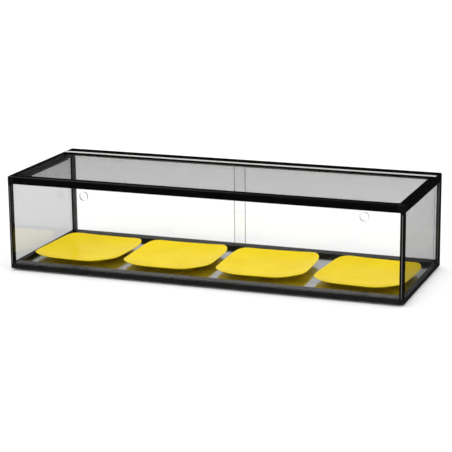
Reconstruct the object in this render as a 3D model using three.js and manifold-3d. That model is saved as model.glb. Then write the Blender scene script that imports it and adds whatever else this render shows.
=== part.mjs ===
// Countertop bakery display case: a low, wide glass box in a slim black frame, with two sliding
// glass doors at the back and four serving plates on a stainless deck.
// Millimetres. X runs to the right, Y to the back, Z up. The origin is the middle of the footprint,
// on the counter.
import * as THREE from 'three';
import { mergeVertices } from 'three/addons/utils/BufferGeometryUtils.js';
import Module from 'manifold-3d';

const wasm = await Module();
wasm.setup();

// Driving dimensions
const WIDTH = 1040;
const DEPTH = 380;
const HEIGHT = 248;
const FOOT_HEIGHT = 5;
const GAP = 0.3;
const GLASS = 4;

// Frame profiles
const POST = 11;
const BASE_HEIGHT = 13;
const BASE_WALL = 2.5;
const TOP_RAIL_WIDTH = 17;
const TOP_RAIL_HEIGHT = 20;
const CORNER_HEIGHT = 24;
const CORNER_RADIUS = 4;
const ROUNDING_STEPS = 6;
const FRONT_LEDGE_DEPTH = 35;
const FRONT_WEB = 12;
const GLASS_BITE = 2.5;
const RAIL_BITE = 3.7;
const TOP_GLASS_BITE = 6;
const TOP_GLASS_RECESS = 5.4;

// Rear header and door tracks
const HEADER_DEPTH = 58;
const HEADER_PLATE = 5;
const TRACK_BLOCK_DEPTH = 32;
const TRACK_BLOCK_HEIGHT = 12.5;
const END_CAP = 3.7;
const TRIM_WIDTH = 16;
const TRIM_INSET = 2.5;
const TRIM_THICKNESS = 1.2;
const GROOVE_WIDTH = 5.6;
const GROOVE_DEPTH = 7;
const UPPER_GROOVE_DEPTH = 8;
const INNER_TRACK_Y = 166;
const OUTER_TRACK_Y = 178;

// Base sheets and feet
const BASE_SHEET = 2;
const DECK_SHEET = 1.5;
const FOOT_RADIUS = 12;
const FOOT_X = 470;
const FOOT_FRONT_Y = -150;
const FOOT_REAR_Y = 130;

// Sliding doors
const DOOR_OUTER_X = 505;
const INNER_DOOR_EDGE = -4;
const OUTER_DOOR_EDGE = -39;
const DOOR_LIFT = 2;
const FINGER_HOLE_RADIUS = 12;
const FINGER_HOLE_Z = 120;
const INNER_HOLE_X = -476;
const OUTER_HOLE_X = 320;
const SHOE_LENGTH = 30;
const SHOE_INSET = 40;
const SHOE_WIDTH = 4.4;

// Frame screws
const SCREW_RADIUS = 1.7;
const SCREW_LENGTH = 24;
const SCREW_HEAD_RADIUS = 3.5;
const SCREW_HEAD_HEIGHT = 2.2;
const SCREW_CLEARANCE = 0.3;
const SCREW_SINK = 0.5;

// Serving plates
const PLATE_HALF_WIDTH = 117;
const PLATE_HALF_DEPTH = 126;
const PLATE_SQUARENESS = 4.5;
const PLATE_CORNER_LIFT = 4;
const PLATE_SEGMENTS = 48;
// Where each plate was set down: across, front to back, and how far it is turned, in degrees.
const PLATE_PLACES = [[-385, -1, -1.8], [-137, 1, 1.9], [116, 1, 2.7], [380.5, -2, -3]];

// Worked out from the above
const HALF_W = WIDTH / 2;
const HALF_D = DEPTH / 2;
const BASE_TOP = FOOT_HEIGHT + BASE_HEIGHT;
const RAIL_BOTTOM = HEIGHT - TOP_RAIL_HEIGHT;
const POST_IN_X = HALF_W - POST;
const POST_IN_Y = HALF_D - POST;
const RAIL_IN_X = HALF_W - TOP_RAIL_WIDTH;
const RAIL_IN_Y = HALF_D - TOP_RAIL_WIDTH;
const HEADER_FRONT = HALF_D - HEADER_DEPTH;
const HEADER_HALF_X = HALF_W - END_CAP - GAP;
const TRACK_FRONT = HALF_D - TRACK_BLOCK_DEPTH;
const TRACK_BLOCK_BOTTOM = HEIGHT - TRACK_BLOCK_HEIGHT;
const LEDGE_BACK = -HALF_D + FRONT_LEDGE_DEPTH;
const WEB_BACK = -HALF_D + FRONT_WEB;
const BASE_SHEET_TOP = FOOT_HEIGHT + BASE_SHEET;
const DECK_TOP = BASE_SHEET_TOP + GAP + DECK_SHEET;
const TRACK_FLOOR = BASE_TOP - GROOVE_DEPTH;
const TRIM_FRONT = HEADER_FRONT + TRIM_INSET;
const SCREW_X = HALF_W - POST / 2 + 1;
const SCREW_Y = HALF_D - POST / 2 + 1;
const SIDES = [['left', -1], ['right', 1]];
const ENDS = [['front', -1], ['rear', 1]];

// Materials
const blackFrame = new THREE.MeshStandardMaterial({ color: 0x0a0a0b, roughness: 0.22, metalness: 0.3 });
const blackPlastic = new THREE.MeshStandardMaterial({ color: 0x141415, roughness: 0.4, metalness: 0 });
const satinTrim = new THREE.MeshStandardMaterial({ color: 0xc9c8c3, roughness: 0.35, metalness: 0.8 });
const stainless = new THREE.MeshStandardMaterial({ color: 0x9a9b9c, roughness: 0.25, metalness: 1 });
const blackSheet = new THREE.MeshStandardMaterial({ color: 0x161617, roughness: 0.55, metalness: 0.4 });
const clearGlass = new THREE.MeshStandardMaterial({ color: 0xf2f6f5, roughness: 0.03, metalness: 0 });
const smokedGlass = new THREE.MeshStandardMaterial({ color: 0xc8c8c9, roughness: 0.03, metalness: 0 });
const rubber = new THREE.MeshStandardMaterial({ color: 0x1a1a1a, roughness: 0.9, metalness: 0 });
const nylon = new THREE.MeshStandardMaterial({ color: 0xe6e4dc, roughness: 0.5, metalness: 0 });
const zincScrew = new THREE.MeshStandardMaterial({ color: 0x8d8f92, roughness: 0.35, metalness: 1 });
const yellowMelamine = new THREE.MeshStandardMaterial({ color: 0xe8cc20, roughness: 0.18, metalness: 0 });

const model = new THREE.Group();

function addPiece(name, geometry, material) {
  const mesh = new THREE.Mesh(geometry, material);
  mesh.name = name;
  model.add(mesh);
  return mesh;
}

// A box from its limits on each axis, given in either order.
function box(xs, ys, zs) {
  const geometry = new THREE.BoxGeometry(
    Math.abs(xs[1] - xs[0]), Math.abs(ys[1] - ys[0]), Math.abs(zs[1] - zs[0]));
  return geometry.translate((xs[0] + xs[1]) / 2, (ys[0] + ys[1]) / 2, (zs[0] + zs[1]) / 2);
}

// The same box, larger by the fitting gap all round, used to cut a groove for it.
function clearance(xs, ys, zs) {
  const grow = ([a, b]) => [Math.min(a, b) - GAP, Math.max(a, b) + GAP];
  return box(grow(xs), grow(ys), grow(zs));
}

function toSolid(geometry) {
  const plain = geometry.clone();
  plain.deleteAttribute('normal');
  plain.deleteAttribute('uv');
  const merged = mergeVertices(plain, 1e-4);
  return new wasm.Manifold(new wasm.Mesh({
    numProp: 3,
    vertProperties: new Float32Array(merged.attributes.position.array),
    triVerts: new Uint32Array(merged.index.array),
  }));
}

function toGeometry(solid) {
  const mesh = solid.getMesh();
  const geometry = new THREE.BufferGeometry();
  geometry.setAttribute('position', new THREE.BufferAttribute(new Float32Array(mesh.vertProperties), 3));
  geometry.setIndex(new THREE.BufferAttribute(new Uint32Array(mesh.triVerts), 1));
  geometry.computeVertexNormals();
  return geometry;
}

// Joins the shapes into one body and cuts the others out of it.
function carveSolid(shapes, cuts = []) {
  let solid = toSolid(shapes[0]);
  for (const shape of shapes.slice(1)) solid = solid.add(toSolid(shape));
  for (const cut of cuts) solid = solid.subtract(toSolid(cut));
  return solid;
}

function carve(shapes, cuts = []) {
  return toGeometry(carveSolid(shapes, cuts));
}

// The limits of the whole frame, with its upright corners and its top edges rounded.
function roundedLimits() {
  const r = CORNER_RADIUS;
  const points = [];
  for (const [, side] of SIDES) {
    for (const [, endY] of ENDS) {
      for (let i = 0; i <= ROUNDING_STEPS; i++) {
        const turn = (Math.PI / 2) * (i / ROUNDING_STEPS);
        points.push([side * (HALF_W - r + r * Math.cos(turn)), endY * (HALF_D - r + r * Math.sin(turn)), 0]);
        for (let k = 0; k <= ROUNDING_STEPS; k++) {
          const rise = (Math.PI / 2) * (k / ROUNDING_STEPS);
          points.push([
            side * (HALF_W - r + r * Math.cos(turn) * Math.cos(rise)),
            endY * (HALF_D - r + r * Math.sin(turn) * Math.cos(rise)),
            HEIGHT - r + r * Math.sin(rise),
          ]);
        }
      }
    }
  }
  return wasm.Manifold.hull(points);
}

// A frame piece, carved and then kept inside the rounded limits.
function carveFrame(shapes, cuts = []) {
  return toGeometry(carveSolid(shapes, cuts).intersect(roundedLimits()));
}

function rod(radius, z0, z1, x, y, segments = 24) {
  const geometry = new THREE.CylinderGeometry(radius, radius, z1 - z0, segments);
  return geometry.rotateX(Math.PI / 2).translate(x, y, (z0 + z1) / 2);
}

// Extent of each pane. The same limits make the pane and the grooves that hold it.
const PANE_BOTTOM = BASE_TOP - RAIL_BITE;
const PANE_TOP = RAIL_BOTTOM + RAIL_BITE;
const FRONT_PANE_Y = -HALF_D + POST / 2;
const SIDE_PANE_X = HALF_W - POST / 2;
const TOP_PANE_Z = HEIGHT - TOP_GLASS_RECESS - GLASS / 2;
const frontPane = [
  [-POST_IN_X - GLASS_BITE, POST_IN_X + GLASS_BITE],
  [FRONT_PANE_Y - GLASS / 2, FRONT_PANE_Y + GLASS / 2],
  [PANE_BOTTOM, PANE_TOP],
];
const sidePane = (side) => [
  [side * (SIDE_PANE_X - GLASS / 2), side * (SIDE_PANE_X + GLASS / 2)],
  [-POST_IN_Y - GLASS_BITE, POST_IN_Y + GLASS_BITE],
  [PANE_BOTTOM, PANE_TOP],
];
const topPane = [
  [-RAIL_IN_X - TOP_GLASS_BITE, RAIL_IN_X + TOP_GLASS_BITE],
  [-RAIL_IN_Y - TOP_GLASS_BITE, HEADER_FRONT + TOP_GLASS_BITE],
  [TOP_PANE_Z - GLASS / 2, TOP_PANE_Z + GLASS / 2],
];
const paneGrooves = () => [
  clearance(...frontPane),
  clearance(...sidePane(-1)),
  clearance(...sidePane(1)),
  clearance(...topPane),
];

// A groove along X in a door track.
function trackGroove(y, z0, z1) {
  return box([-POST_IN_X, POST_IN_X], [y - GROOVE_WIDTH / 2, y + GROOVE_WIDTH / 2], [z0, z1]);
}

// Screw holes up through the base corners: a clear hole and a sunk seat for the head.
function screwHoles(endY) {
  const cuts = [];
  for (const [, side] of SIDES) {
    const x = side * SCREW_X;
    const y = endY * SCREW_Y;
    const seatTop = FOOT_HEIGHT + SCREW_SINK + SCREW_HEAD_HEIGHT + SCREW_CLEARANCE;
    cuts.push(rod(SCREW_RADIUS + SCREW_CLEARANCE, FOOT_HEIGHT - 1, BASE_TOP + 1, x, y));
    cuts.push(rod(SCREW_HEAD_RADIUS + SCREW_CLEARANCE, FOOT_HEIGHT - 1, seatTop, x, y));
  }
  return cuts;
}

function buildBaseFrame() {
  const webTop = [FOOT_HEIGHT, BASE_TOP];
  const lipBottom = DECK_TOP + GAP;
  const frontRail = [
    box([-HALF_W, HALF_W], [-HALF_D, WEB_BACK], webTop),
    box([-HALF_W, HALF_W], [WEB_BACK - 1, LEDGE_BACK], [BASE_TOP - BASE_WALL, BASE_TOP]),
    box([-HALF_W, HALF_W], [LEDGE_BACK - BASE_WALL, LEDGE_BACK], [lipBottom, BASE_TOP]),
  ];
  for (const [, side] of SIDES) {
    frontRail.push(box([side * POST_IN_X, side * HALF_W], [WEB_BACK - 1, LEDGE_BACK], webTop));
  }
  addPiece('bottom_rail_front', carveFrame(frontRail, [...paneGrooves(), ...screwHoles(-1)]), blackFrame);

  for (const [name, side] of SIDES) {
    const rail = box([side * POST_IN_X, side * HALF_W], [LEDGE_BACK + GAP, TRACK_FRONT - GAP], webTop);
    addPiece(`bottom_rail_${name}`, carve([rail], paneGrooves()), blackFrame);
  }

  const grooves = [INNER_TRACK_Y, OUTER_TRACK_Y].map((y) => trackGroove(y, TRACK_FLOOR, BASE_TOP + 1));
  const rearRail = box([-HALF_W, HALF_W], [TRACK_FRONT, HALF_D], webTop);
  addPiece('bottom_track_rear', carveFrame([rearRail], [...grooves, ...paneGrooves(), ...screwHoles(1)]),
    blackFrame);
}

function buildBaseSheets() {
  const xs = [-POST_IN_X + GAP, POST_IN_X - GAP];
  const ys = [WEB_BACK + GAP, TRACK_FRONT - GAP];
  addPiece('base_panel', box(xs, ys, [FOOT_HEIGHT, BASE_SHEET_TOP]), blackSheet);
  addPiece('deck_panel', box(xs, ys, [BASE_SHEET_TOP + GAP, DECK_TOP]), stainless);
}

function buildFeet() {
  const profile = [
    new THREE.Vector2(0, 0),
    new THREE.Vector2(FOOT_RADIUS - 1, 0),
    new THREE.Vector2(FOOT_RADIUS, 1),
    new THREE.Vector2(FOOT_RADIUS - 1, FOOT_HEIGHT - GAP),
    new THREE.Vector2(0, FOOT_HEIGHT - GAP),
  ];
  const rows = { front: FOOT_FRONT_Y, rear: FOOT_REAR_Y };
  for (const [end] of ENDS) {
    for (const [name, side] of SIDES) {
      const foot = addPiece(`foot_${end}_${name}`, new THREE.LatheGeometry(profile, 32), rubber);
      foot.rotation.x = Math.PI / 2;
      foot.position.set(side * FOOT_X, rows[end], 0);
    }
  }
}

function buildPosts() {
  for (const [end, endY] of ENDS) {
    const top = endY < 0 ? HEIGHT - CORNER_HEIGHT : RAIL_BOTTOM;
    for (const [name, side] of SIDES) {
      const post = box([side * POST_IN_X, side * HALF_W], [endY * POST_IN_Y, endY * HALF_D],
        [BASE_TOP + GAP, top - GAP]);
      const pilot = rod(SCREW_RADIUS + SCREW_CLEARANCE, BASE_TOP - 1, BASE_TOP + SCREW_LENGTH,
        side * SCREW_X, endY * SCREW_Y);
      addPiece(`post_${end}_${name}`, carveFrame([post], [...paneGrooves(), pilot]), blackFrame);
    }
  }
}

function buildScrews() {
  const shankTop = SCREW_HEAD_HEIGHT + SCREW_LENGTH;
  const profile = [
    new THREE.Vector2(0, 0),
    new THREE.Vector2(SCREW_HEAD_RADIUS - 0.6, 0),
    new THREE.Vector2(SCREW_HEAD_RADIUS, 0.6),
    new THREE.Vector2(SCREW_HEAD_RADIUS, SCREW_HEAD_HEIGHT),
    new THREE.Vector2(SCREW_RADIUS, SCREW_HEAD_HEIGHT),
    new THREE.Vector2(SCREW_RADIUS, shankTop - 1.5),
    new THREE.Vector2(0, shankTop),
  ];
  for (const [end, endY] of ENDS) {
    for (const [name, side] of SIDES) {
      const screw = addPiece(`frame_screw_${end}_${name}`, new THREE.LatheGeometry(profile, 16), zincScrew);
      screw.rotation.x = Math.PI / 2;
      screw.position.set(side * SCREW_X, endY * SCREW_Y, FOOT_HEIGHT + SCREW_SINK);
    }
  }
}

function buildTopFrame() {
  const zs = [RAIL_BOTTOM, HEIGHT];
  const front = box([-RAIL_IN_X + GAP, RAIL_IN_X - GAP], [-HALF_D, -RAIL_IN_Y], zs);
  addPiece('top_rail_front', carveFrame([front], paneGrooves()), blackFrame);
  for (const [name, side] of SIDES) {
    const rail = box([side * RAIL_IN_X, side * HALF_W], [-RAIL_IN_Y + GAP, HEADER_FRONT - GAP], zs);
    addPiece(`top_rail_${name}`, carveFrame([rail], paneGrooves()), blackFrame);
    addPiece(`top_corner_front_${name}`, cornerBlock(side), blackPlastic);
  }
}

// A front top corner: as wide as the rails down to their underside, then as wide as the post.
function cornerBlock(side) {
  const square = (w, z0, z1) => box([side * (HALF_W - w), side * HALF_W], [-HALF_D, -HALF_D + w], [z0, z1]);
  const head = square(TOP_RAIL_WIDTH, RAIL_BOTTOM, HEIGHT);
  const neck = square(POST, HEIGHT - CORNER_HEIGHT, RAIL_BOTTOM + 1);
  return carveFrame([head, neck], paneGrooves());
}

function buildHeader() {
  const span = [-HEADER_HALF_X, HEADER_HALF_X];
  const shapes = [
    box(span, [HEADER_FRONT, HALF_D], [HEIGHT - HEADER_PLATE, HEIGHT]),
    box(span, [TRACK_FRONT, HALF_D], [TRACK_BLOCK_BOTTOM, HEIGHT - 1]),
  ];
  for (const [, side] of SIDES) {
    shapes.push(box([side * POST_IN_X, side * HEADER_HALF_X], [HEADER_FRONT, HALF_D], [RAIL_BOTTOM, HEIGHT - 1]));
  }
  const cuts = [INNER_TRACK_Y, OUTER_TRACK_Y].map(
    (y) => trackGroove(y, TRACK_BLOCK_BOTTOM - 1, TRACK_BLOCK_BOTTOM + UPPER_GROOVE_DEPTH));
  const trimY = [TRIM_FRONT, TRIM_FRONT + TRIM_WIDTH];
  cuts.push(box([-HALF_W, HALF_W], trimY, [HEIGHT - TRIM_THICKNESS, HEIGHT + 1]));
  addPiece('rear_header', carveFrame(shapes, [...cuts, ...paneGrooves()]), blackFrame);
  addPiece('header_trim', box([-HEADER_HALF_X + GAP, HEADER_HALF_X - GAP],
    [trimY[0] + GAP, trimY[1] - GAP], [HEIGHT - TRIM_THICKNESS + GAP, HEIGHT]), satinTrim);
  for (const [name, side] of SIDES) {
    const cap = box([side * (HEADER_HALF_X + GAP), side * HALF_W], [HEADER_FRONT, HALF_D], [RAIL_BOTTOM, HEIGHT]);
    addPiece(`header_end_cap_${name}`, carveFrame([cap], paneGrooves()), blackPlastic);
  }
}

function buildPanes() {
  addPiece('front_glass', box(...frontPane), clearGlass);
  for (const [name, side] of SIDES) addPiece(`${name}_glass`, box(...sidePane(side)), smokedGlass);
  addPiece('top_glass', box(...topPane), smokedGlass);
}

// A sliding pane from x0 to x1, centred on its track, with a round finger hole through it.
function doorPane(x0, x1, trackY, holeX) {
  const z0 = TRACK_FLOOR + DOOR_LIFT;
  const z1 = TRACK_BLOCK_BOTTOM + UPPER_GROOVE_DEPTH - 1.3;
  const outline = new THREE.Shape();
  outline.moveTo(x0, z0);
  outline.lineTo(x1, z0);
  outline.lineTo(x1, z1);
  outline.lineTo(x0, z1);
  outline.closePath();
  const hole = new THREE.Path();
  hole.absarc(holeX, FINGER_HOLE_Z, FINGER_HOLE_RADIUS, 0, 2 * Math.PI, true);
  outline.holes.push(hole);
  const geometry = new THREE.ExtrudeGeometry(outline, { depth: GLASS, bevelEnabled: false, curveSegments: 20 });
  return geometry.rotateX(Math.PI / 2).translate(0, trackY + GLASS / 2, 0);
}

function buildDoors() {
  const doors = [
    ['left', -DOOR_OUTER_X, INNER_DOOR_EDGE, INNER_TRACK_Y, INNER_HOLE_X],
    ['right', OUTER_DOOR_EDGE, DOOR_OUTER_X, OUTER_TRACK_Y, OUTER_HOLE_X],
  ];
  for (const [name, x0, x1, y, holeX] of doors) {
    addPiece(`${name}_door`, doorPane(x0, x1, y, holeX), clearGlass);
    const shoes = [['outer', name === 'left' ? x0 : x1], ['inner', name === 'left' ? x1 : x0]];
    for (const [place, edge] of shoes) {
      const inward = edge === x0 ? 1 : -1;
      const centre = edge + inward * SHOE_INSET;
      addPiece(`${name}_door_shoe_${place}`, box(
        [centre - SHOE_LENGTH / 2, centre + SHOE_LENGTH / 2],
        [y - SHOE_WIDTH / 2, y + SHOE_WIDTH / 2],
        [TRACK_FLOOR + GAP, TRACK_FLOOR + DOOR_LIFT - GAP]), nylon);
    }
  }
}

function buildTrackStops() {
  const tracks = [['inner', INNER_TRACK_Y], ['outer', OUTER_TRACK_Y]];
  for (const [track, y] of tracks) {
    for (const [name, side] of SIDES) {
      addPiece(`${track}_track_stop_${name}`, box(
        [side * (DOOR_OUTER_X + GAP), side * (POST_IN_X - GAP)],
        [y - SHOE_WIDTH / 2, y + SHOE_WIDTH / 2],
        [TRACK_FLOOR + GAP, BASE_TOP - GAP]), rubber);
    }
  }
}

// Rings from the middle of the underside, out round the rim and back to the middle of the top:
// how far inside the outline, how high, and how much of the corner lift it takes.
const PLATE_RINGS = [
  { inset: 56, z: 0, lift: 0 },
  { inset: 50, z: 0, lift: 0 },
  { inset: 47, z: 3, lift: 0 },
  { inset: 22, z: 7.5, lift: 0.35 },
  { inset: 6, z: 12, lift: 0.8 },
  { inset: 0, z: 14.6, lift: 1 },
  { inset: 1.2, z: 16.2, lift: 1 },
  { inset: 8, z: 14.4, lift: 0.8 },
  { inset: 24, z: 10, lift: 0.35 },
  { inset: 50, z: 6, lift: 0 },
];

// A shallow plate, nearly square in plan, whose corners rise above the middle of its sides.
function plateGeometry() {
  const positions = [0, 0, 0];
  const indices = [];
  const power = 2 / PLATE_SQUARENESS;
  for (const ring of PLATE_RINGS) {
    for (let i = 0; i < PLATE_SEGMENTS; i++) {
      const angle = (2 * Math.PI * i) / PLATE_SEGMENTS;
      const c = Math.cos(angle);
      const s = Math.sin(angle);
      const corner = Math.sin(2 * angle) ** 2;
      positions.push(
        Math.sign(c) * Math.abs(c) ** power * (PLATE_HALF_WIDTH - ring.inset),
        Math.sign(s) * Math.abs(s) ** power * (PLATE_HALF_DEPTH - ring.inset),
        ring.z + ring.lift * corner * PLATE_CORNER_LIFT);
    }
  }
  const last = 1 + PLATE_RINGS.length * PLATE_SEGMENTS;
  positions.push(0, 0, PLATE_RINGS.at(-1).z - 0.4);
  for (let i = 0; i < PLATE_SEGMENTS; i++) {
    const next = (i + 1) % PLATE_SEGMENTS;
    indices.push(0, 1 + next, 1 + i);
    for (let k = 0; k + 1 < PLATE_RINGS.length; k++) {
      const a = 1 + k * PLATE_SEGMENTS + i;
      const b = 1 + k * PLATE_SEGMENTS + next;
      indices.push(a, b, b + PLATE_SEGMENTS, a, b + PLATE_SEGMENTS, a + PLATE_SEGMENTS);
    }
    const rim = last - PLATE_SEGMENTS;
    indices.push(rim + i, rim + next, last);
  }
  const geometry = new THREE.BufferGeometry();
  geometry.setAttribute('position', new THREE.Float32BufferAttribute(positions, 3));
  geometry.setIndex(indices);
  geometry.computeVertexNormals();
  return geometry;
}

function buildPlates() {
  PLATE_PLACES.forEach(([x, y, turn], i) => {
    const plate = addPiece(`serving_plate_${i + 1}`, plateGeometry(), yellowMelamine);
    plate.rotation.z = THREE.MathUtils.degToRad(turn);
    plate.position.set(x, y, DECK_TOP + GAP);
  });
}

buildBaseFrame();
buildBaseSheets();
buildFeet();
buildPosts();
buildScrews();
buildTopFrame();
buildHeader();
buildPanes();
buildDoors();
buildTrackStops();
buildPlates();

export default model;
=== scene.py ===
"""Countertop bakery display case: materials, fine detail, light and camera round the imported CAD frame.

Metres. X runs to the right, Y to the back, Z up, the same as the CAD. The origin is on the counter,
under the middle of the case.
"""

import math

import bpy
from mathutils import Matrix, Vector


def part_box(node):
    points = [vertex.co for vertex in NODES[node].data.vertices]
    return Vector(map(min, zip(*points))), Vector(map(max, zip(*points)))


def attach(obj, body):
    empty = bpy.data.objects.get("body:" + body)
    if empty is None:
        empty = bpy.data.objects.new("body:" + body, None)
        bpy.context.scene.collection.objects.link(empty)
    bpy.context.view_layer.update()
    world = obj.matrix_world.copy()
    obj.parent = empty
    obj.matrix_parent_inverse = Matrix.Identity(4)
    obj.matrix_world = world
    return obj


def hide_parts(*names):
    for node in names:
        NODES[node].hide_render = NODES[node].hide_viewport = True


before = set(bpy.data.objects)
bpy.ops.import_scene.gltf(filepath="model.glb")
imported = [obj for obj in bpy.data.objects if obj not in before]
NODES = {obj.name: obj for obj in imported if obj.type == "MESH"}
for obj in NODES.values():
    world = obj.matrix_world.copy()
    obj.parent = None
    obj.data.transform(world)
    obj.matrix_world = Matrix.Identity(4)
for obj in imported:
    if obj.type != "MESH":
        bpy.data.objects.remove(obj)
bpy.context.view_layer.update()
SCENE = bpy.context.scene
SIDES = ("left", "right")

# Camera
AZIMUTH = math.radians(20.456)
ELEVATION = math.radians(14.06)
ROLL = math.radians(-0.54)
DISTANCE = 4.1989
TARGET = Vector((0.0029, 0.0, 0.1125))
SENSOR = 36.0
LENS = 130.5

# World: how bright the room is for each kind of ray
BACKDROP_STRENGTH = 1.16
AMBIENT_STRENGTH = 1.25
DARK_ROOM = 0.012
ROOM_THROUGH_GLASS = 0.55
# Pane faces passed before a mirror ray sees the grey room. A pane has two, so this is two panes.
FACES_TO_SEE_ROOM = 3.5
# A ray under this diffuse depth has not come off a diffuse surface.
FIRST_HAND_DEPTH = 0.5
# How many see-through faces a ray may pass in all
MOST_FACES_PASSED = 32

# Softboxes: name, place, where it aims, size and watts
SOFTBOXES = (
    ("key_softbox", (-1.7, -1.3, 2.3), (0, 0, 0.1), (1.4, 1.4), 14),
    ("top_softbox", (-0.9, 0.0, 2.5), (0, 0, 0.1), (1.7, 1.7), 13),
    ("side_strip", (2.3, -1.2, 0.9), (0.3, 0, 0.15), (0.25, 1.6), 4),
)

# Floor
FLOOR_RADIUS = 14.0
FLOOR_SEGMENTS = 96

# Rounded edges
RAIL_EDGE = 0.0009
CAP_EDGE = RAIL_EDGE * 1.3
PANE_EDGE = 0.0004
DECK_EDGE = 0.0003
TRIM_EDGE = 0.0002
SMALL_PART_EDGE = 0.0004
EDGE_SEGMENTS = 3
EDGE_ANGLE = math.radians(40)

# Glass: how much a large face mirrors when seen head on, what a glancing angle adds to that,
# and how steeply it rises
HEAD_ON_MIRROR = 0.04
GRAZING_MIRROR = 0.96
GRAZING_POWER = 5.0
GLASS_IOR = 1.5
TINTED_EDGE = (0.16, 0.19, 0.18)
# How solid a cut edge is. The rest of it lets light through.
CUT_EDGE_SHARE = 0.7
# A face belongs to the large sides when its normal lies along the pane's axis by more than this.
LARGE_FACE = 0.5


# ---------------------------------------------------------------- node helpers


class Tree:
    """A material's node tree with short calls for the nodes that the materials share."""

    def __init__(self, name):
        self.material = bpy.data.materials.new(name)
        self.material.use_nodes = True
        self.nodes = self.material.node_tree.nodes
        self.links = self.material.node_tree.links
        self.nodes.clear()
        self.output = self.nodes.new("ShaderNodeOutputMaterial")
        self.coordinates = self.nodes.new("ShaderNodeTexCoord")

    def node(self, kind, **values):
        made = self.nodes.new(kind)
        for name, value in values.items():
            setattr(made, name, value)
        return made

    def link(self, source, target):
        self.links.new(source, target)

    def stretched(self, scale):
        """Object coordinates in metres, scaled on each axis."""
        mapping = self.node("ShaderNodeMapping")
        mapping.inputs["Scale"].default_value = scale
        self.link(self.coordinates.outputs["Object"], mapping.inputs["Vector"])
        return mapping.outputs["Vector"]

    def noise(self, scale, detail=3.0, roughness=0.5, stretch=(1, 1, 1), distortion=0.0):
        texture = self.node("ShaderNodeTexNoise")
        texture.inputs["Scale"].default_value = scale
        texture.inputs["Detail"].default_value = detail
        texture.inputs["Roughness"].default_value = roughness
        texture.inputs["Distortion"].default_value = distortion
        self.link(self.stretched(stretch), texture.inputs["Vector"])
        return texture.outputs["Fac"]

    def spread(self, value, low, high, source=(0.3, 0.7)):
        """Maps the source range of a noise value onto low..high."""
        ranged = self.node("ShaderNodeMapRange")
        ranged.inputs["From Min"].default_value = source[0]
        ranged.inputs["From Max"].default_value = source[1]
        ranged.inputs["To Min"].default_value = low
        ranged.inputs["To Max"].default_value = high
        self.link(value, ranged.inputs["Value"])
        return ranged.outputs["Result"]

    def tones(self, value, dark, light, stops=(0.3, 0.7)):
        """A colour between dark and light, picked by a noise value."""
        ramp = self.node("ShaderNodeValToRGB")
        ramp.color_ramp.elements[0].position = stops[0]
        ramp.color_ramp.elements[1].position = stops[1]
        ramp.color_ramp.elements[0].color = (*dark, 1)
        ramp.color_ramp.elements[1].color = (*light, 1)
        self.link(value, ramp.inputs["Fac"])
        return ramp.outputs["Color"]

    def math(self, operation, *values):
        """A Math node. A value is a number or a socket."""
        made = self.node("ShaderNodeMath", operation=operation)
        for socket, value in zip(made.inputs, values):
            if isinstance(value, (int, float)):
                socket.default_value = value
            else:
                self.link(value, socket)
        return made.outputs["Value"]

    def bump(self, height, distance, strength, under=None):
        """A bumped normal. Under is the normal of a coarser bump that this one lies on."""
        made = self.node("ShaderNodeBump")
        made.inputs["Strength"].default_value = strength
        made.inputs["Distance"].default_value = distance
        self.link(height, made.inputs["Height"])
        if under is not None:
            self.link(under, made.inputs["Normal"])
        return made.outputs["Normal"]

    def mix(self, share, first, second):
        """Two shaders, with the second one's share as a number or a socket."""
        made = self.node("ShaderNodeMixShader")
        if isinstance(share, float):
            made.inputs["Fac"].default_value = share
        else:
            self.link(share, made.inputs["Fac"])
        self.link(first, made.inputs[1])
        self.link(second, made.inputs[2])
        return made.outputs["Shader"]

    def principled(self, **values):
        """A Principled shader on the output. A value is a number or a socket."""
        shader = self.node("ShaderNodeBsdfPrincipled")
        names = {
            "color": "Base Color",
            "roughness": "Roughness",
            "metallic": "Metallic",
            "specular": "Specular IOR Level",
            "anisotropic": "Anisotropic",
            "normal": "Normal",
            "subsurface": "Subsurface Weight",
        }
        for name, value in values.items():
            socket = shader.inputs[names[name]]
            if isinstance(value, (int, float)):
                socket.default_value = value
            else:
                self.link(value, socket)
        self.link(shader.outputs["BSDF"], self.output.inputs["Surface"])


# ---------------------------------------------------------------- materials


def black_coating(name, level, specular, smooth, rough):
    """Black coated aluminium: fine orange peel, faint wiping marks along the profile. Level is how light
    the black is, and the copies differ in it as painted light and shade.
    """
    tree = Tree(name)
    peel = tree.noise(scale=900, detail=2)
    wiping = tree.noise(scale=60, detail=4, stretch=(0.35, 0.35, 1.0))
    dust = tree.noise(scale=35, detail=6, roughness=0.7)
    dark = (level * 0.75, level * 0.75, level * 0.78)
    light = (level * 1.25, level * 1.25, level * 1.22)
    wiped = tree.bump(wiping, distance=0.0001, strength=0.05)
    tree.principled(
        color=tree.tones(dust, dark, light),
        roughness=tree.spread(wiping, smooth, rough),
        specular=specular,
        normal=tree.bump(peel, distance=0.00002, strength=0.30, under=wiped),
    )
    return tree.material


def black_plastic():
    """Moulded corner and end caps with a fine spark-eroded grain."""
    tree = Tree("black_plastic")
    grain = tree.noise(scale=2600, detail=2, roughness=0.6)
    flow = tree.noise(scale=45, detail=3)
    tree.principled(
        color=tree.tones(flow, (0.0035, 0.0035, 0.0037), (0.0065, 0.0065, 0.0068)),
        roughness=tree.spread(flow, 0.26, 0.36),
        specular=0.3,
        normal=tree.bump(grain, distance=0.00003, strength=0.5),
    )
    return tree.material


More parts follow.
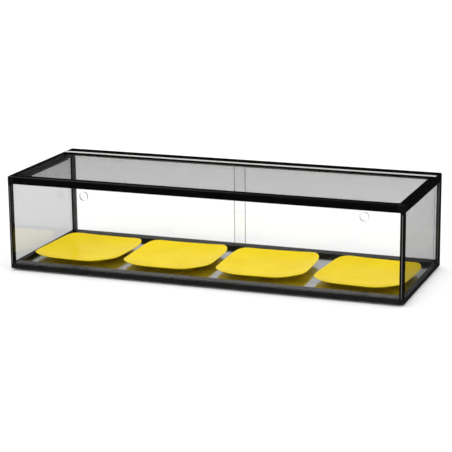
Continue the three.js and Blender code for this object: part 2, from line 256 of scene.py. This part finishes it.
def brushed(name, dark, light, smooth, rough, lines, anisotropic, metallic):
    """Metal brushed along X: fine lines, wider streaks and a slow change of colour."""
    tree = Tree(name)
    fine = tree.noise(scale=lines, detail=5, roughness=0.65, stretch=(0.012, 1.0, 1.0))
    streak = tree.noise(scale=lines * 0.14, detail=3, stretch=(0.03, 1.0, 1.0))
    cloud = tree.noise(scale=7, detail=4, roughness=0.55)
    blend = tree.math("ADD", tree.math("MULTIPLY", streak, 0.6), tree.math("MULTIPLY", cloud, 0.4))
    scuffed = tree.math("ADD", fine, tree.math("MULTIPLY", cloud, 0.25))
    waved = tree.bump(cloud, distance=0.0012, strength=0.10)
    tree.principled(
        color=tree.tones(blend, dark, light, stops=(0.35, 0.65)),
        metallic=metallic,
        roughness=tree.spread(scuffed, smooth, rough, source=(0.4, 0.8)),
        anisotropic=anisotropic,
        normal=tree.bump(fine, distance=0.00001, strength=0.6, under=waved),
    )
    return tree.material


def powder_coat():
    """Matt black powder coat on the base sheet, with its fine leathery texture."""
    tree = Tree("powder_coat")
    pebble = tree.noise(scale=1400, detail=2, roughness=0.55)
    patch = tree.noise(scale=25, detail=4)
    tree.principled(
        color=tree.tones(patch, (0.011, 0.011, 0.012), (0.019, 0.019, 0.020)),
        roughness=tree.spread(patch, 0.5, 0.62),
        specular=0.35,
        normal=tree.bump(pebble, distance=0.00008, strength=0.7),
    )
    return tree.material


def pane_face(tree, body, mirror):
    """A pane's large face: see-through, mirroring more at a glancing angle, slightly smeared."""
    facing = tree.node("ShaderNodeLayerWeight")
    facing.inputs["Blend"].default_value = 0.5
    grazing = tree.math("POWER", facing.outputs["Facing"], GRAZING_POWER)
    slanted = tree.math("MULTIPLY", grazing, GRAZING_MIRROR * mirror)
    mirrored = tree.math("ADD", slanted, HEAD_ON_MIRROR * mirror)
    clear = tree.node("ShaderNodeBsdfTransparent")
    clear.inputs["Color"].default_value = (*body, 1)
    gloss = tree.node("ShaderNodeBsdfGlossy")
    gloss.inputs["Color"].default_value = (0.96, 0.98, 0.97, 1)
    smear = tree.noise(scale=9, detail=5, roughness=0.6)
    tree.link(tree.spread(smear, 0.0, 0.035, source=(0.5, 0.8)), gloss.inputs["Roughness"])
    return tree.mix(mirrored, clear.outputs["BSDF"], gloss.outputs["BSDF"])


def pane_cut(tree, edge):
    """A pane's cut and ground edge: darker, and only partly see-through."""
    rim = tree.node("ShaderNodeBsdfPrincipled")
    rim.inputs["Base Color"].default_value = (*edge, 1)
    rim.inputs["IOR"].default_value = GLASS_IOR
    ground = tree.noise(scale=700, detail=2, stretch=(0.2, 0.2, 1.0))
    tree.link(tree.spread(ground, 0.08, 0.2), rim.inputs["Roughness"])
    seen_in = tree.node("ShaderNodeBsdfTransparent")
    seen_in.inputs["Color"].default_value = (*edge, 1)
    return tree.mix(CUT_EDGE_SHARE, seen_in.outputs["BSDF"], rim.outputs["BSDF"])


def pane_glass(name, body, edge, face_axis, mirror=1.0):
    """Glass of one pane. Faces square to face_axis (0, 1 or 2 for X, Y or Z) are its large faces.

    Body is what one face lets through, edge the colour of the cut edges, and mirror scales the
    reflection of the large faces.
    """
    tree = Tree(name)
    geometry = tree.node("ShaderNodeNewGeometry")
    parts = tree.node("ShaderNodeSeparateXYZ")
    tree.link(geometry.outputs["True Normal"], parts.inputs["Vector"])
    across = tree.math("ABSOLUTE", parts.outputs[face_axis])
    is_face = tree.math("GREATER_THAN", across, LARGE_FACE)
    whole = tree.mix(is_face, pane_cut(tree, edge), pane_face(tree, body, mirror))
    tree.link(whole, tree.output.inputs["Surface"])
    return tree.material


def rubber():
    """Black rubber of the feet and track stops, with a faint grey bloom."""
    tree = Tree("rubber")
    grain = tree.noise(scale=1800, detail=3)
    bloom = tree.noise(scale=90, detail=5, roughness=0.7)
    tree.principled(
        color=tree.tones(bloom, (0.012, 0.012, 0.012), (0.03, 0.03, 0.029)),
        roughness=tree.spread(bloom, 0.7, 0.9),
        specular=0.3,
        normal=tree.bump(grain, distance=0.00006, strength=0.5),
    )
    return tree.material


def nylon():
    """White nylon of the door shoes, slightly translucent."""
    tree = Tree("nylon")
    flow = tree.noise(scale=160, detail=4)
    grain = tree.noise(scale=1500, detail=2)
    tree.principled(
        color=tree.tones(flow, (0.68, 0.66, 0.60), (0.80, 0.78, 0.73)),
        roughness=tree.spread(flow, 0.42, 0.55),
        subsurface=0.15,
        normal=tree.bump(grain, distance=0.00003, strength=0.4),
    )
    return tree.material


def zinc():
    """Zinc plate of the frame screws."""
    tree = Tree("zinc_plate")
    spangle = tree.noise(scale=900, detail=4, roughness=0.7)
    tree.principled(
        color=tree.tones(spangle, (0.30, 0.31, 0.33), (0.52, 0.52, 0.50)),
        metallic=1.0,
        roughness=tree.spread(spangle, 0.25, 0.42),
        normal=tree.bump(spangle, distance=0.00003, strength=0.4),
    )
    return tree.material


def melamine():
    """Yellow plate: slow colour drift, orange peel and fine wear marks."""
    tree = Tree("yellow_melamine")
    drift = tree.noise(scale=14, detail=4, roughness=0.6)
    peel = tree.noise(scale=420, detail=2)
    wear = tree.noise(scale=260, detail=6, roughness=0.75, stretch=(1.0, 0.25, 1.0), distortion=0.6)
    worn = tree.bump(wear, distance=0.00002, strength=0.3)
    tree.principled(
        color=tree.tones(drift, (0.80, 0.585, 0.010), (0.86, 0.655, 0.018)),
        roughness=tree.spread(wear, 0.16, 0.28),
        specular=0.03,
        normal=tree.bump(peel, distance=0.00006, strength=0.25, under=worn),
    )
    return tree.material


def highlight_strip_finish():
    """Pale grey of the post strips, a painted highlight, with a slight sheen and handling marks."""
    tree = Tree("grey_painted_highlight")
    haze = tree.noise(scale=240, detail=4)
    tree.principled(
        color=tree.tones(haze, (0.085, 0.085, 0.076), (0.125, 0.125, 0.112)),
        roughness=tree.spread(haze, 0.3, 0.45),
        normal=tree.bump(haze, distance=0.00003, strength=0.3),
    )
    return tree.material


def counter():
    """The floor: plain and pale, with no shine."""
    tree = Tree("counter")
    tone = tree.noise(scale=3, detail=2)
    tree.principled(
        color=tree.tones(tone, (0.93, 0.93, 0.93), (0.94, 0.94, 0.94)),
        roughness=0.8,
        specular=0.0,
    )
    return tree.material


# One black finish in three copies at different levels. The base copy is lighter, a painted reflection of
# the counter below it. The top copy is the darkest, a painted shade.
top_black_painted_shade = black_coating("black_frame_top_painted_shade", level=0.0022, specular=0.24, smooth=0.12, rough=0.19)
post_black = black_coating("black_frame_post", level=0.0035, specular=0.45, smooth=0.09, rough=0.16)
base_black_painted_reflection = black_coating("black_frame_base_painted_reflection", level=0.0115, specular=0.34, smooth=0.16, rough=0.24)
cap_black = black_plastic()
trim_metal = brushed(
    "satin_trim", dark=(0.62, 0.615, 0.60), light=(0.72, 0.715, 0.70),
    smooth=0.3, rough=0.42, lines=900, anisotropic=0.4, metallic=0.2,
)
deck_metal = brushed(
    "stainless_deck", dark=(0.62, 0.63, 0.63), light=(0.80, 0.81, 0.81),
    smooth=0.07, rough=0.2, lines=700, anisotropic=0.55, metallic=1.0,
)
base_coat = powder_coat()
clear_glass = pane_glass(
    "clear_glass", body=(0.992, 0.994, 0.993), edge=(0.022, 0.026, 0.025), face_axis=1, mirror=0.6,
)
# One smoked glass in two copies: the left pane's tint is greyer as painted shade, and the right pane's
# is clearer as painted light.
left_pane = pane_glass("left_pane_painted_shade_glass", body=(0.82, 0.82, 0.822), edge=TINTED_EDGE, face_axis=0)
right_pane = pane_glass("right_pane_painted_light_glass", body=(0.92, 0.92, 0.922), edge=TINTED_EDGE, face_axis=0)
top_glass = pane_glass("top_glass", body=(0.975, 0.973, 0.974), edge=TINTED_EDGE, face_axis=2)
rubber_black = rubber()
nylon_white = nylon()
zinc_steel = zinc()
plate_yellow = melamine()
# Pale grey of the post strips: a painted highlight.
highlight_strip_grey = highlight_strip_finish()

# The finish of each node, by how its name starts. The longest fitting start counts.
FINISHES = {
    "bottom_rail": base_black_painted_reflection,
    "bottom_track": base_black_painted_reflection,
    "post": post_black,
    "top_rail": top_black_painted_shade,
    "rear_header": top_black_painted_shade,
    "top_corner": cap_black,
    "header_end_cap": cap_black,
    "header_trim": trim_metal,
    "deck_panel": deck_metal,
    "base_panel": base_coat,
    "foot": rubber_black,
    "frame_screw": zinc_steel,
    "front_glass": clear_glass,
    "left_glass": left_pane,
    "right_glass": right_pane,
    "top_glass": top_glass,
    "left_door_shoe": nylon_white,
    "right_door_shoe": nylon_white,
    "left_door": clear_glass,
    "right_door": clear_glass,
    "inner_track_stop": rubber_black,
    "outer_track_stop": rubber_black,
    "serving_plate": plate_yellow,
}

# How wide the edges of each finish are rounded. Screws and plates are not in it.
EDGES = {
    base_black_painted_reflection: RAIL_EDGE,
    post_black: RAIL_EDGE,
    top_black_painted_shade: RAIL_EDGE,
    cap_black: CAP_EDGE,
    trim_metal: TRIM_EDGE,
    deck_metal: DECK_EDGE,
    base_coat: SMALL_PART_EDGE,
    clear_glass: PANE_EDGE,
    left_pane: PANE_EDGE,
    right_pane: PANE_EDGE,
    top_glass: PANE_EDGE,
    nylon_white: SMALL_PART_EDGE,
    rubber_black: SMALL_PART_EDGE,
}


def finish_for(name):
    """The finish whose name is the longest start of this node's name."""
    start = max((key for key in FINISHES if name.startswith(key)), key=len)
    return FINISHES[start]


def dress_nodes():
    """Puts the finishes on the CAD nodes and rounds their edges."""
    for name, node in NODES.items():
        finish = finish_for(name)
        node.data.materials.clear()
        node.data.materials.append(finish)
        if finish in EDGES:
            bevel = node.modifiers.new("edge", "BEVEL")
            bevel.width = EDGES[finish]
            bevel.segments = EDGE_SEGMENTS
            bevel.limit_method = "ANGLE"
            bevel.angle_limit = EDGE_ANGLE
            bevel.harden_normals = False


dress_nodes()


# ---------------------------------------------------------------- meshes


def add_piece(name, mesh, material, body):
    """Puts a new piece in the scene, on one of the frame's bodies."""
    piece = bpy.data.objects.new(name, mesh)
    SCENE.collection.objects.link(piece)
    mesh.materials.append(material)
    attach(piece, body)
    return piece


def mesh_from(name, verts, faces, smooth):
    mesh = bpy.data.meshes.new(name)
    mesh.from_pydata(verts, [], faces)
    mesh.update()
    for polygon in mesh.polygons:
        polygon.use_smooth = smooth
    return mesh


def catmull(points, per_span):
    """A smooth curve through the points, with per_span steps between neighbours."""
    curve = []
    for i in range(len(points) - 1):
        a = Vector(points[max(i - 1, 0)])
        b = Vector(points[i])
        c = Vector(points[i + 1])
        d = Vector(points[min(i + 2, len(points) - 1)])
        for step in range(per_span):
            t = step / per_span
            slope = (c - a) * t
            bend = (2 * a - 5 * b + 4 * c - d) * t * t
            twist = (3 * b - a - 3 * c + d) * t ** 3
            curve.append(0.5 * (2 * b + slope + bend + twist))
    curve.append(Vector(points[-1]))
    return curve


# ---------------------------------------------------------------- plates

PLATE_SQUARENESS = 4.5
PLATE_CORNER_LIFT = 0.004
PLATE_HALF = (0.117, 0.126)
PLATE_TURNS = (-1.8, 1.9, 2.7, -3.0)
PLATE_STEPS = 160
SECTION_STEPS = 4
# Section from the underside round the rim to the edge of the middle:
# how far inside the outline, how high, and how much of the corner lift it takes.
PLATE_SECTION = (
    (0.056, 0.0, 0.0),
    (0.050, 0.0, 0.0),
    (0.047, 0.003, 0.0),
    (0.022, 0.0075, 0.35),
    (0.006, 0.012, 0.8),
    (0.0, 0.0146, 1.0),
    (0.0012, 0.0162, 1.0),
    (0.008, 0.0144, 0.8),
    (0.024, 0.010, 0.35),
    (0.050, 0.006, 0.0),
)
# The middle: where its rings lie between the centre and its edge, and how far the top one sinks,
# along a slope and then at the centre.
MIDDLE_RINGS = (0.66, 0.33)
MIDDLE_SLOPE = 0.0003
MIDDLE_DIP = 0.0004


def plate_rings():
    """One ring of points for each step of the section: a rounded rectangle with lifted corners.

    The curve can swing a little under zero between its points, so inset and height are held at zero.
    """
    power = 2 / PLATE_SQUARENESS
    rings = []
    for inset, height, lift in catmull(PLATE_SECTION, SECTION_STEPS):
        half_x = PLATE_HALF[0] - max(inset, 0)
        half_y = PLATE_HALF[1] - max(inset, 0)
        ring = []
        for i in range(PLATE_STEPS):
            angle = 2 * math.pi * i / PLATE_STEPS
            c = math.cos(angle)
            s = math.sin(angle)
            x = math.copysign(abs(c) ** power, c) * half_x
            y = math.copysign(abs(s) ** power, s) * half_y
            z = max(height, 0) + lift * math.sin(2 * angle) ** 2 * PLATE_CORNER_LIFT
            ring.append(Vector((x, y, z)))
        rings.append(ring)
    return rings


def close_ring(verts, faces, start, upside):
    """Fills the ring that begins at vertex start, as the plate's top or as its underside."""
    rim = verts[start:start + PLATE_STEPS]
    outer = [start + i for i in range(PLATE_STEPS)]
    centre = sum(rim, Vector()) / PLATE_STEPS
    if upside:
        centre.z -= MIDDLE_DIP
    for share in MIDDLE_RINGS:
        inner = []
        for point in rim:
            inner.append(len(verts))
            place = centre.lerp(point, share)
            place.z = point.z
            if upside:
                place.z -= MIDDLE_SLOPE * (1 - share)
            verts.append(place)
        for i in range(PLATE_STEPS):
            j = (i + 1) % PLATE_STEPS
            quad = (outer[i], outer[j], inner[j], inner[i])
            faces.append(quad if upside else tuple(reversed(quad)))
        outer = inner
    tip = len(verts)
    verts.append(centre)
    for i in range(PLATE_STEPS):
        j = (i + 1) % PLATE_STEPS
        faces.append((outer[i], outer[j], tip) if upside else (outer[j], outer[i], tip))


def plate_mesh(name, origin, turn):
    """The plate's outline swept through its section, finer and smoother than the CAD solid."""
    swing = Matrix.Rotation(math.radians(turn), 3, "Z")
    rings = plate_rings()
    verts = [origin + swing @ point for ring in rings for point in ring]
    faces = []
    for k in range(len(rings) - 1):
        for i in range(PLATE_STEPS):
            j = (i + 1) % PLATE_STEPS
            a = k * PLATE_STEPS
            b = a + PLATE_STEPS
            faces.append((a + i, a + j, b + j, b + i))
    close_ring(verts, faces, 0, upside=False)
    close_ring(verts, faces, (len(rings) - 1) * PLATE_STEPS, upside=True)
    return mesh_from(name, verts, faces, smooth=True)


def make_plates():
    """Replaces each plain CAD plate with a fine one in the same place."""
    for number, turn in enumerate(PLATE_TURNS, start=1):
        node = f"serving_plate_{number}"
        low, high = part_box(node)
        origin = Vector(((low.x + high.x) / 2, (low.y + high.y) / 2, low.z))
        mesh = plate_mesh(node, origin, turn)
        piece = add_piece(f"plate_{number}_smooth", mesh, plate_yellow, f"plate_{number}")
        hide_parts(node)


make_plates()


# ---------------------------------------------------------------- post strips, a painted highlight

STRIP_WIDTH = 0.0020
STRIP_HEIGHT = 0.0005
STRIP_END_GAP = 0.0006
STRIP_STEPS = 10


def strip_mesh(name, middle, front, bottom, top):
    """A strip from bottom to top on the plane y = front, domed towards the front."""
    verts = []
    for z in (bottom, top):
        for i in range(STRIP_STEPS + 1):
            turn = math.pi * i / STRIP_STEPS
            x = middle - STRIP_WIDTH / 2 * math.cos(turn)
            verts.append((x, front - STRIP_HEIGHT * math.sin(turn), z))
    row = STRIP_STEPS + 1
    faces = [(i, i + 1, row + i + 1, row + i) for i in range(STRIP_STEPS)]
    faces.append((STRIP_STEPS, 0, row, row + STRIP_STEPS))
    faces.append(tuple(range(STRIP_STEPS, -1, -1)))
    faces.append(tuple(range(row, 2 * row)))
    return mesh_from(name, verts, faces, smooth=False)


def make_post_highlight_strips():
    """A slim domed strip down the front face of each front post. Its pale grey is a painted highlight.
    """
    for side in SIDES:
        name = f"post_highlight_strip_{side}"
        low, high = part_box(f"post_front_{side}")
        bottom = max(low.z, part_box(f"bottom_rail_{side}")[1].z) + STRIP_END_GAP
        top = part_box(f"top_corner_front_{side}")[0].z - STRIP_END_GAP
        mesh = strip_mesh(name, (low.x + high.x) / 2, low.y, bottom, top)
        add_piece(name, mesh, highlight_strip_grey, "case")


make_post_highlight_strips()


# ---------------------------------------------------------------- studio


def make_world():
    """What the room looks like to each kind of ray.

    The camera sees white, and diffuse rays find even light. Mirror rays see a dark room, or a grey
    one once they have passed two panes, unless they come off a diffuse surface.
    """
    world = bpy.data.worlds.new("studio")
    SCENE.world = world
    world.use_nodes = True
    tree = world.node_tree
    tree.nodes.clear()
    output = tree.nodes.new("ShaderNodeOutputWorld")
    path = tree.nodes.new("ShaderNodeLightPath")

    def background(level):
        made = tree.nodes.new("ShaderNodeBackground")
        made.inputs["Color"].default_value = (level, level, level, 1)
        made.inputs["Strength"].default_value = 1.0
        return made.outputs["Background"]

    def choose(factor, off, on):
        made = tree.nodes.new("ShaderNodeMixShader")
        tree.links.new(factor, made.inputs["Fac"])
        tree.links.new(off, made.inputs[1])
        tree.links.new(on, made.inputs[2])
        return made.outputs["Shader"]

    def compare(operation, *values):
        made = tree.nodes.new("ShaderNodeMath")
        made.operation = operation
        for socket, value in zip(made.inputs, values):
            if isinstance(value, (int, float)):
                socket.default_value = value
            else:
                tree.links.new(value, socket)
        return made.outputs["Value"]

    behind_glass = compare("GREATER_THAN", path.outputs["Transparent Depth"], FACES_TO_SEE_ROOM)
    mirrored = choose(behind_glass, background(DARK_ROOM), background(ROOM_THROUGH_GLASS))
    first_hand = compare("LESS_THAN", path.outputs["Diffuse Depth"], FIRST_HAND_DEPTH)
    in_mirror = compare("MULTIPLY", path.outputs["Is Glossy Ray"], first_hand)
    unseen = choose(in_mirror, background(AMBIENT_STRENGTH), mirrored)
    shown = choose(path.outputs["Is Camera Ray"], unseen, background(BACKDROP_STRENGTH))
    tree.links.new(shown, output.inputs["Surface"])


def add_softbox(name, place, aim, size, power):
    light = bpy.data.lights.new(name, "AREA")
    light.shape = "RECTANGLE"
    light.size, light.size_y = size
    light.energy = power
    lamp = bpy.data.objects.new(name, light)
    lamp.location = place
    lamp.rotation_euler = (Vector(aim) - Vector(place)).to_track_quat("-Z", "Y").to_euler()
    lamp.visible_camera = False
    SCENE.collection.objects.link(lamp)
    return lamp


def make_lights(floor):
    """Softboxes for the case alone: the floor is lit by the room, so it stays even."""
    unlit = bpy.data.collections.new("not_lit_by_softboxes")
    unlit.objects.link(floor)
    unlit.collection_objects[0].light_linking.link_state = "EXCLUDE"
    for softbox in SOFTBOXES:
        lamp = add_softbox(*softbox)
        lamp.light_linking.receiver_collection = unlit


def make_floor():
    """A wide disc that mirror rays pass through."""
    verts = [(0, 0, 0)]
    for i in range(FLOOR_SEGMENTS):
        angle = 2 * math.pi * i / FLOOR_SEGMENTS
        verts.append((FLOOR_RADIUS * math.cos(angle), FLOOR_RADIUS * math.sin(angle), 0))
    faces = [(0, 1 + i, 1 + (i + 1) % FLOOR_SEGMENTS) for i in range(FLOOR_SEGMENTS)]
    mesh = mesh_from("counter_floor", verts, faces, smooth=False)
    floor = bpy.data.objects.new("counter_floor", mesh)
    SCENE.collection.objects.link(floor)
    mesh.materials.append(counter())
    floor.visible_glossy = False
    return floor


def make_camera():
    back = Vector((
        math.sin(AZIMUTH) * math.cos(ELEVATION),
        -math.cos(AZIMUTH) * math.cos(ELEVATION),
        math.sin(ELEVATION),
    ))
    right = (-back).cross(Vector((0, 0, 1))).normalized()
    up = right.cross(-back)
    side = math.cos(ROLL) * right + math.sin(ROLL) * up
    head = -math.sin(ROLL) * right + math.cos(ROLL) * up
    data = bpy.data.cameras.new("camera")
    data.sensor_width = SENSOR
    data.lens = LENS
    camera = bpy.data.objects.new("camera", data)
    SCENE.collection.objects.link(camera)
    turn = Matrix((side, head, back)).transposed().to_4x4()
    camera.matrix_world = Matrix.Translation(TARGET + back * DISTANCE) @ turn
    SCENE.camera = camera


make_world()
make_lights(make_floor())
make_camera()
SCENE.view_settings.view_transform = "Standard"
SCENE.view_settings.look = "None"
SCENE.cycles.transparent_max_bounces = MOST_FACES_PASSED
